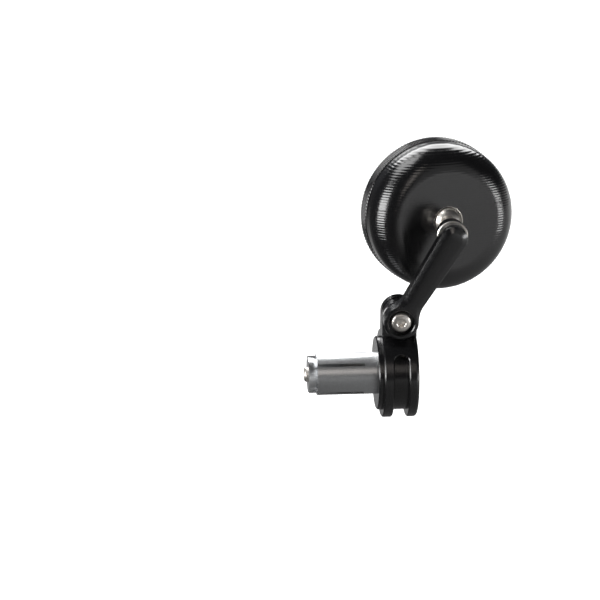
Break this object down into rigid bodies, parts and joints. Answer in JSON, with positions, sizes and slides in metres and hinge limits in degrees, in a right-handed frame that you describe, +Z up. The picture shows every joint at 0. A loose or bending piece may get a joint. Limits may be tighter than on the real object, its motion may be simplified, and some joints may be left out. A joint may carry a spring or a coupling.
{
  "type": "motorcycle bar end mirror",
  "caption": "Round rear-view mirror on a ball joint and swinging arm, with a split clamp round an expanding plug for the end of a handlebar.",
  "frame": {"origin": "on the handlebar's axis, at the end face of the bar, where the plug's shoulder seats", "axes": "+X outboard along the handlebar, +Z up along the clamp's ears, +Y towards the rider, the way the glass looks"},
  "size_m": [0.0868, 0.0578, 0.107],
  "materials": {
    "black_anodised": "smooth black anodising with a semi-gloss sheen",
    "satin_black_anodised": "black anodising over fine parallel milling lines",
    "knurled_black_anodised": "fine diamond knurl, black anodised",
    "raw_aluminium": "turned bare aluminium",
    "stainless": "turned and polished stainless steel",
    "spring_steel": "oiled spring steel",
    "black_nylon": "matt nylon",
    "white_acetal": "machined acetal",
    "black_rubber": "matt rubber",
    "pad_foam": "closed cell foam tape",
    "mirror_glass": "silvered convex glass"
  },
  "bodies": {
    "plug": {"bar_plug": "black_anodised", "expander_sleeve": "raw_aluminium", "expander_cone": "raw_aluminium", "plug_washer": "stainless", "plug_bolt": "stainless"},
    "clamp": {"clamp_ring": "black_anodised", "pivot_bolt": "stainless", "friction_washer": "black_nylon"},
    "arm": {"arm": "black_anodised", "ball_stud": "stainless"},
    "front_seat": {"front_seat": "white_acetal"},
    "thrust_cup": {"thrust_cup": "raw_aluminium"},
    "head": {"head_shell": "satin_black_anodised", "rear_seat": "white_acetal", "spring_washers": "spring_steel", "retainer_plate": "raw_aluminium", "retainer_screws": "stainless", "bezel_ring": "knurled_black_anodised", "bezel_seal": "black_rubber", "glass_pad": "pad_foam", "mirror_glass": "mirror_glass"}
  },
  "joints": [
    {"name": "clamp_turn", "type": "hinge", "parent": "plug", "child": "clamp", "pos_m": [0.009, 0, 0], "axis": [1, 0, 0], "continuous": true},
    {"name": "arm_swing", "type": "hinge", "parent": "clamp", "child": "arm", "pos_m": [0.009, 0, 0.02525], "axis": [0, 1, 0], "range_deg": [-60, 60]},
    {"name": "head_nod", "type": "hinge", "parent": "arm", "child": "front_seat", "pos_m": [0.02942, 0.01485, 0.05964], "axis": [0.9816, 0.1908, 0], "range_deg": [-14.5, 25.5]},
    {"name": "head_turn", "type": "hinge", "parent": "front_seat", "child": "thrust_cup", "pos_m": [0.02942, 0.01485, 0.05964], "axis": [-0.0183, 0.0941, 0.9954], "range_deg": [-31, 9]},
    {"name": "head_spin", "type": "hinge", "parent": "thrust_cup", "child": "head", "pos_m": [0.02942, 0.01485, 0.05964], "axis": [-0.1899, 0.9771, -0.0958], "continuous": true}
  ]
}
